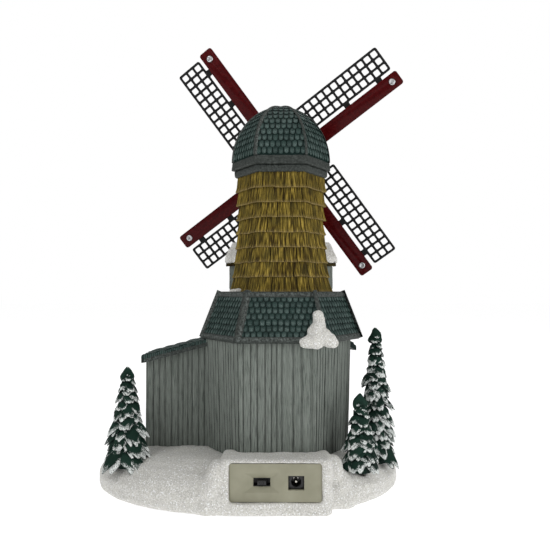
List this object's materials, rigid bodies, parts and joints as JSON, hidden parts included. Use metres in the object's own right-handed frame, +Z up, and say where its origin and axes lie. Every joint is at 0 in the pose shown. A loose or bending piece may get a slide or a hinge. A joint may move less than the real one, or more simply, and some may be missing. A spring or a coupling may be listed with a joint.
{
  "type": "windmill figurine",
  "caption": "Table-top snowy windmill: plank barn with lean-to, shingled skirt roof, thatched tower, domed cap and motor-driven lattice sails, with slide switch and low-voltage jack.",
  "frame": {"origin": "middle of the whole's box, on the plane of the feet", "axes": "+Z up; the sails and the front door face -Y; the control panel faces +Y; the lean-to shed is towards +X"},
  "size_m": [0.2039, 0.146, 0.3018],
  "materials": {
    "snow": "sparkling matt",
    "cover_card": "matt",
    "rubber": "matt",
    "panel_cream": "satin",
    "board_green": "satin",
    "steel": "satin",
    "nickel": "polished",
    "black_plastic": "satin",
    "plank_grey": "dry-brushed matt",
    "trim_grey": "dry-brushed matt",
    "door_red": "dry-brushed matt",
    "pane_amber": "frosted",
    "shingle_green": "dry-brushed matt",
    "thatch": "dry-brushed matt",
    "brass_bush": "satin",
    "gear_white": "satin",
    "lattice_black": "satin",
    "spar_red": "semi-gloss",
    "lamp_glass": "clear",
    "foliage": "snow-dusted matt"
  },
  "bodies": {
    "building": {"barn_walls": "plank_grey", "base_casting": "snow", "base_cover": "cover_card", "bearing_block": "trim_grey", "board_screws": "steel", "cap_dome": "shingle_green", "cap_ribs": "trim_grey", "cap_ring": "trim_grey", "control_board": "board_green", "cover_screws": "steel", "curb_ring": "trim_grey", "dc_jack_housing": "black_plastic", "dc_jack_pin": "nickel", "door_frame": "trim_grey", "dormer_roofs": "thatch", "dormer_walls": "plank_grey", "front_door": "door_red", "front_steps": "snow", "gear_arbor": "steel", "gearbox_cover": "gear_white", "gearbox_housing": "gear_white", "gearbox_screws": "steel", "lamp_holders": "gear_white", "lamps": "lamp_glass", "motor_can": "steel", "rear_panel": "panel_cream", "roof_snow": "snow", "rubber_feet": "rubber", "shaft_bush": "brass_bush", "shed_roof": "shingle_green", "shed_walls": "plank_grey", "skirt_roof": "shingle_green", "skirt_roof_trim": "trim_grey", "slide_switch_body": "black_plastic", "tower_walls": "thatch", "tree_shed_side": "foliage", "tree_small": "foliage", "tree_tall": "foliage", "window_awning": "shingle_green", "window_frames": "trim_grey", "window_panes": "pane_amber"},
    "sails": {"windshaft": "steel", "output_gear": "gear_white", "sail_hub": "lattice_black", "hub_cap": "spar_red", "hub_screw": "steel", "sail_rivets": "steel", "sail_spar_1": "spar_red", "sail_spar_2": "spar_red", "sail_spar_3": "spar_red", "sail_spar_4": "spar_red", "sail_lattice_1": "lattice_black", "sail_lattice_2": "lattice_black", "sail_lattice_3": "lattice_black", "sail_lattice_4": "lattice_black"},
    "gear_lower": {"compound_gear_lower": "gear_white"},
    "gear_upper": {"compound_gear_upper": "gear_white"},
    "motor_rotor": {"motor_pinion": "brass_bush"},
    "switch_slider": {"switch_knob": "black_plastic"}
  },
  "joints": [
    {"name": "sails_spin", "type": "hinge", "parent": "building", "child": "sails", "pos_m": [-0.02095, -0.037, 0.22], "axis": [-0.1366, -0.9721, 0.1908], "continuous": true},
    {"name": "gear_lower_spin", "type": "hinge", "parent": "building", "child": "gear_lower", "pos_m": [-0.0212, -0.03881, 0.21058], "axis": [-0.1366, -0.9721, 0.1908], "continuous": true},
    {"name": "gear_upper_spin", "type": "hinge", "parent": "building", "child": "gear_upper", "pos_m": [-0.02095, -0.037, 0.22], "axis": [-0.1366, -0.9721, 0.1908], "continuous": true},
    {"name": "motor_spin", "type": "hinge", "parent": "building", "child": "motor_rotor", "pos_m": [-0.0212, -0.03881, 0.21058], "axis": [-0.1366, -0.9721, 0.1908], "continuous": true},
    {"name": "switch_slide", "type": "slide", "parent": "building", "child": "switch_slider", "axis": [1, 0, 0], "range_m": [-0.0022, 0.0022]}
  ],
  "couplings": [
    {"joint": "gear_lower_spin", "follows": "sails_spin", "ratio": -3},
    {"joint": "gear_upper_spin", "follows": "sails_spin", "ratio": 9},
    {"joint": "motor_spin", "follows": "sails_spin", "ratio": -27}
  ]
}
